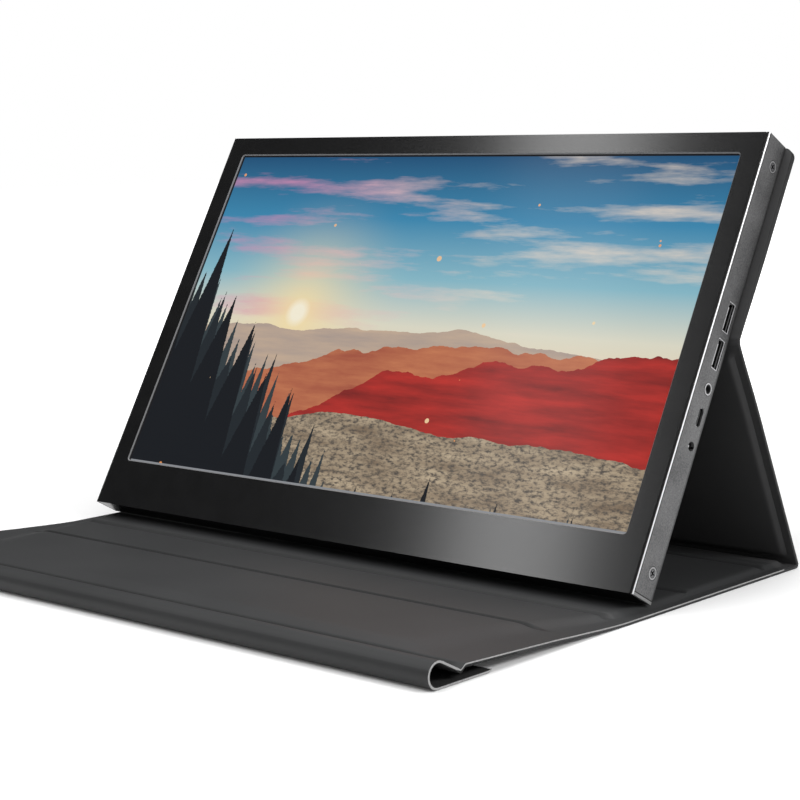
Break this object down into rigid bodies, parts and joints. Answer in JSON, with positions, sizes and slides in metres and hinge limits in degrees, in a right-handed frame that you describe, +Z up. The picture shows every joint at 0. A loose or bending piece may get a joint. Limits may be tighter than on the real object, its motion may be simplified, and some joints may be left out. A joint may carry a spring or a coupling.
{
  "type": "portable monitor with folding cover",
  "caption": "Thin portable monitor standing on its lower edge, held at a lean by a folding leatherette cover with a rear flap, a spine, folding front leaves and a curled closing tab.",
  "frame": {"origin": "middle of the footprint, on the table", "axes": "+X to the right as seen from the front of the screen, +Y away from the viewer, +Z up"},
  "size_m": [0.38, 0.2755, 0.2138],
  "materials": {
    "black_metal": "fine bead-blasted black anodising",
    "grey_metal": "satin dark grey, bright chamfered edge",
    "block_metal": "plain folded or milled",
    "screw_steel": "zinc plated",
    "black_screw": "blackened",
    "tape_black": "thin foam tape",
    "screen_glass": "glossy, showing a picture",
    "white_sheet": "white film",
    "guide_acrylic": "clear acrylic",
    "led_yellow": "white strip with phosphor",
    "board_green": "glass-fibre board, solder mask",
    "chip_black": "moulded",
    "standoff_brass": "turned",
    "socket_metal": "stamped, tin plated",
    "jack_black": "moulded",
    "cable_amber": "flexible printed film",
    "button_black": "satin",
    "cover_outer": "smooth coated leatherette",
    "cover_lining": "smooth coated leatherette, pressed fold lines",
    "cover_board": "grey fibre board",
    "magnet": "nickel plated"
  },
  "bodies": {
    "base": {"base_skin": "cover_outer", "base_rear_board": "cover_board", "base_front_board": "cover_board", "base_lining": "cover_lining"},
    "spine": {"spine_skin": "cover_outer", "spine_board": "cover_board", "spine_lining": "cover_lining"},
    "stand_flap": {"rear_crease": "cover_outer", "flap_skin": "cover_outer", "flap_board": "cover_board", "flap_lining": "cover_lining"},
    "inner_leaf": {"leaf_inner_skin": "cover_outer", "leaf_inner_board": "cover_board", "leaf_inner_lining": "cover_lining"},
    "outer_leaf": {"leaf_outer_skin": "cover_outer", "leaf_outer_board": "cover_board", "leaf_outer_lining": "cover_lining"},
    "tab_root": {"tab_root": "cover_lining"},
    "tab_end": {"tab_end": "cover_lining", "tab_magnets": "magnet"},
    "power_key": {"power_button": "button_black"},
    "menu_key": {"menu_button": "button_black"},
    "plus_key": {"plus_button": "button_black"},
    "minus_key": {"minus_button": "button_black"},
    "source_key": {"source_button": "button_black"},
    "display": {"front_housing": "black_metal", "right_side_plate": "grey_metal", "left_side_plate": "grey_metal", "rear_plate": "black_metal", "corner_blocks": "block_metal", "side_screws": "screw_steel", "rear_screws": "black_screw", "panel_tape": "tape_black", "lcd_glass": "screen_glass", "diffuser_sheet": "white_sheet", "light_guide": "guide_acrylic", "reflector_sheet": "white_sheet", "led_strip": "led_yellow", "panel_tray": "block_metal", "panel_driver_board": "board_green", "main_board": "board_green", "board_chips": "chip_black", "board_standoffs": "standoff_brass", "board_screws": "screw_steel", "hdmi_ports": "socket_metal", "audio_jack": "jack_black", "usb_c_port": "socket_metal", "dc_jack": "jack_black", "panel_cable": "cable_amber", "speakers": "chip_black", "key_board": "board_green", "key_switches": "socket_metal", "back_panel_skin": "cover_outer", "back_panel_board": "cover_board", "back_panel_adhesive": "tape_black", "display_magnets": "magnet", "upper_crease": "cover_outer"}
  },
  "joints": [
    {"name": "cover_wrap_fold", "type": "hinge", "parent": "base", "child": "spine", "pos_m": [0, 0.11496, 0], "axis": [1, 0, 0], "range_deg": [-170, 0]},
    {"name": "stand_lean_fold", "type": "hinge", "parent": "spine", "child": "stand_flap", "pos_m": [0, 0.13595, 0.0018], "axis": [1, 0, 0], "range_deg": [0, 38]},
    {"name": "upper_lean_fold", "type": "hinge", "parent": "stand_flap", "child": "display", "pos_m": [0, 0.0856, 0.11621], "axis": [1, 0, 0], "range_deg": [-73.54, 0]},
    {"name": "inner_leaf_fold", "type": "hinge", "parent": "base", "child": "inner_leaf", "pos_m": [0, -0.00705, 0.0016], "axis": [1, 0, 0], "range_deg": [-95, 0]},
    {"name": "outer_leaf_fold", "type": "hinge", "parent": "inner_leaf", "child": "outer_leaf", "pos_m": [0, -0.04653, 0.0025], "axis": [1, 0, 0], "range_deg": [-95, 0]},
    {"name": "tab_fold", "type": "hinge", "parent": "outer_leaf", "child": "tab_root", "pos_m": [0, -0.11925, 0.00592], "axis": [1, 0, 0], "range_deg": [0, 25]},
    {"name": "tab_uncurl", "type": "hinge", "parent": "tab_root", "child": "tab_end", "pos_m": [0, -0.13598, 0.00169], "axis": [1, 0, 0], "range_deg": [-135.3, 0]},
    {"name": "power_press", "type": "slide", "parent": "display", "child": "power_key", "axis": [1, 0, 0], "range_m": [0, 0.0004], "stiffness_N_per_m": 2500},
    {"name": "menu_press", "type": "slide", "parent": "display", "child": "menu_key", "axis": [1, 0, 0], "range_m": [0, 0.0004], "stiffness_N_per_m": 2500},
    {"name": "plus_press", "type": "slide", "parent": "display", "child": "plus_key", "axis": [1, 0, 0], "range_m": [0, 0.0004], "stiffness_N_per_m": 2500},
    {"name": "minus_press", "type": "slide", "parent": "display", "child": "minus_key", "axis": [1, 0, 0], "range_m": [0, 0.0004], "stiffness_N_per_m": 2500},
    {"name": "source_press", "type": "slide", "parent": "display", "child": "source_key", "axis": [1, 0, 0], "range_m": [0, 0.0004], "stiffness_N_per_m": 2500}
  ],
  "couplings": [
    {"joint": "upper_lean_fold", "follows": "stand_lean_fold", "ratio": -1.93},
    {"joint": "tab_uncurl", "follows": "tab_fold", "ratio": -5.4}
  ]
}
